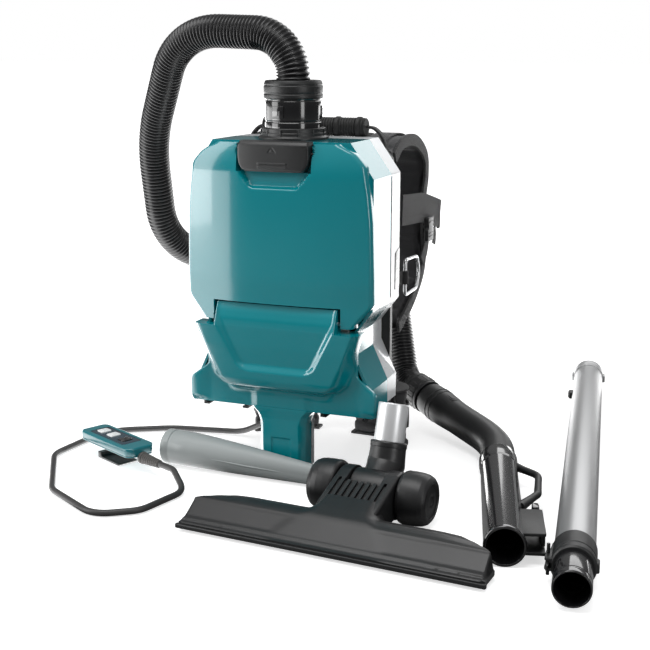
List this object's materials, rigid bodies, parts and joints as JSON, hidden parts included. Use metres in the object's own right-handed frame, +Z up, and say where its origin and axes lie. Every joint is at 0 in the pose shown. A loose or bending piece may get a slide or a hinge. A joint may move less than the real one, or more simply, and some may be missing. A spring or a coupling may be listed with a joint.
{
  "type": "backpack vacuum cleaner",
  "caption": "Cordless backpack vacuum cleaner: teal and white body on a foot, hinged cover, ribbed hose, padded harness, curved handle, floor nozzle, wand, crevice tool and belt controller.",
  "frame": {"origin": "centre of the foot's sole, on the floor", "axes": "+Z up, -Y towards the front cover, +X to the viewer's right"},
  "size_m": [0.6576, 0.7129, 0.5057],
  "materials": {
    "teal_gloss": "glossy moulded",
    "teal_satin": "satin moulded",
    "white_plastic": "satin",
    "black_plastic": "fine texture",
    "black_gloss": "glossy",
    "charcoal_plastic": "satin",
    "hose_plastic": "ribbed",
    "black_fabric": "woven webbing",
    "pad_fabric": "padded mesh",
    "rubber": "matt",
    "grey_plastic": "satin",
    "silver": "satin anodised",
    "steel": "turned",
    "bag_paper": "filter fleece",
    "filter_white": "pleated",
    "foam": "open cell",
    "board_green": "circuit board",
    "copper": "windings",
    "key_white": "satin",
    "grille_black": "textured"
  },
  "bodies": {
    "unit": {"back_pad": "pad_fabric", "back_plate": "black_plastic", "battery_rails": "black_plastic", "belt_clip": "black_plastic", "carry_grip": "rubber", "carry_strap": "black_fabric", "chamber_seal": "rubber", "chest_buckles": "black_plastic", "chest_straps": "black_fabric", "control_board": "board_green", "controller_case": "teal_satin", "controller_panel": "grille_black", "dust_bag": "bag_paper", "exhaust_foam": "foam", "foot_pad": "rubber", "handle_grip": "black_plastic", "handle_lock": "black_plastic", "handle_socket": "black_gloss", "hepa_filter": "filter_white", "hinge_pins": "steel", "hip_belts": "pad_fabric", "hip_pad": "pad_fabric", "hose": "hose_plastic", "hose_port": "black_plastic", "housing_screws": "steel", "leg_back": "white_plastic", "lower_housing": "teal_gloss", "main_housing": "teal_gloss", "motor_bearing": "steel", "motor_cap": "black_plastic", "motor_case": "black_plastic", "motor_mounts": "rubber", "motor_stator": "copper", "power_cable": "hose_plastic", "rear_housing": "white_plastic", "ring_tab": "black_fabric", "shoulder_straps": "pad_fabric"},
    "cover": {"front_cover": "teal_gloss"},
    "latch": {"latch": "black_plastic"},
    "cuff": {"hose_cuff": "black_plastic"},
    "cuff_ring": {"cuff_ring": "black_plastic"},
    "fan": {"motor_rotor": "steel"},
    "ring": {"d_ring": "silver"},
    "handle_collar": {"handle_collar": "black_plastic"},
    "handle_button": {"handle_button": "black_gloss"},
    "nozzle": {"nozzle_body": "charcoal_plastic", "nozzle_brush": "black_fabric"},
    "wheel_left": {"nozzle_wheel_left": "charcoal_plastic"},
    "wheel_right": {"nozzle_wheel_right": "charcoal_plastic"},
    "nozzle_neck": {"nozzle_neck": "charcoal_plastic", "nozzle_stub": "silver"},
    "wand": {"wand_spigot": "black_gloss", "wand_collar": "black_plastic", "wand_tube": "silver"},
    "wand_lever": {"wand_lever": "black_plastic"},
    "wand_button": {"wand_button": "black_plastic"},
    "tool": {"crevice_tool": "grey_plastic"},
    "button_on": {"button_on": "key_white"},
    "button_speed": {"button_speed": "key_white"},
    "button_light": {"button_light": "black_gloss"}
  },
  "joints": [
    {"name": "cover_hinge", "type": "hinge", "parent": "unit", "child": "cover", "pos_m": [0, -0.021, 0.181], "axis": [1, 0, 0], "range_deg": [0, 95]},
    {"name": "latch_pivot", "type": "hinge", "parent": "cover", "child": "latch", "pos_m": [0, -0.024, 0.361], "axis": [-1, 0, 0], "range_deg": [0, 10], "stiffness_Nm_per_rad": 0.3},
    {"name": "cuff_twist", "type": "hinge", "parent": "unit", "child": "cuff", "pos_m": [0, 0.025, 0.39], "axis": [0, 0, 1], "range_deg": [0, 30]},
    {"name": "cuff_swivel", "type": "hinge", "parent": "cuff", "child": "cuff_ring", "pos_m": [0, 0.025, 0.425], "axis": [0, 0, 1], "continuous": true},
    {"name": "fan_spin", "type": "hinge", "parent": "unit", "child": "fan", "pos_m": [0, 0.007, 0.12], "axis": [0, 0, 1], "continuous": true},
    {"name": "ring_swing", "type": "hinge", "parent": "unit", "child": "ring", "pos_m": [0.0973, 0.127, 0.208], "axis": [0, 0, -1], "range_deg": [0, 60]},
    {"name": "handle_swivel", "type": "hinge", "parent": "unit", "child": "handle_collar", "pos_m": [0.105, 0.209, 0.04], "axis": [0.7935, -0.5753, -0.1984], "continuous": true},
    {"name": "handle_button_press", "type": "slide", "parent": "unit", "child": "handle_button", "axis": [-0.9659, -0.2588, 0], "range_m": [0, 0.0015], "stiffness_N_per_m": 800},
    {"name": "nozzle_lift", "type": "slide", "parent": "unit", "child": "nozzle", "axis": [0, -0.8, 0.6], "range_m": [0, 0.4]},
    {"name": "wheel_left_roll", "type": "hinge", "parent": "nozzle", "child": "wheel_left", "pos_m": [0.13728, -0.09825, 0.028], "axis": [0.9969, -0.0785, 0], "continuous": true},
    {"name": "wheel_right_roll", "type": "hinge", "parent": "nozzle", "child": "wheel_right", "pos_m": [0.13728, -0.09825, 0.028], "axis": [0.9969, -0.0785, 0], "continuous": true},
    {"name": "neck_tilt", "type": "hinge", "parent": "nozzle", "child": "nozzle_neck", "pos_m": [0.13728, -0.09825, 0.028], "axis": [0.9969, -0.0785, 0], "range_deg": [-8, 45]},
    {"name": "wand_lift", "type": "slide", "parent": "unit", "child": "wand", "axis": [0.8, 0, 0.6], "range_m": [0, 0.3]},
    {"name": "wand_lever_pivot", "type": "hinge", "parent": "wand", "child": "wand_lever", "pos_m": [0.33458, -0.18395, 0.0215], "axis": [0, 0, 1], "range_deg": [-20, 0], "stiffness_Nm_per_rad": 0.05},
    {"name": "wand_button_press", "type": "slide", "parent": "wand", "child": "wand_button", "axis": [0.9895, 0.1444, 0], "range_m": [0, 0.003], "stiffness_N_per_m": 800},
    {"name": "tool_lift", "type": "slide", "parent": "unit", "child": "tool", "axis": [0, -0.8, 0.6], "range_m": [0, 0.4]},
    {"name": "button_on_press", "type": "slide", "parent": "unit", "child": "button_on", "axis": [0, 0, -1], "range_m": [0, 0.001], "stiffness_N_per_m": 800},
    {"name": "button_speed_press", "type": "slide", "parent": "unit", "child": "button_speed", "axis": [0, 0, -1], "range_m": [0, 0.001], "stiffness_N_per_m": 800},
    {"name": "button_light_press", "type": "slide", "parent": "unit", "child": "button_light", "axis": [0, 0, -1], "range_m": [0, 0.001], "stiffness_N_per_m": 800}
  ]
}
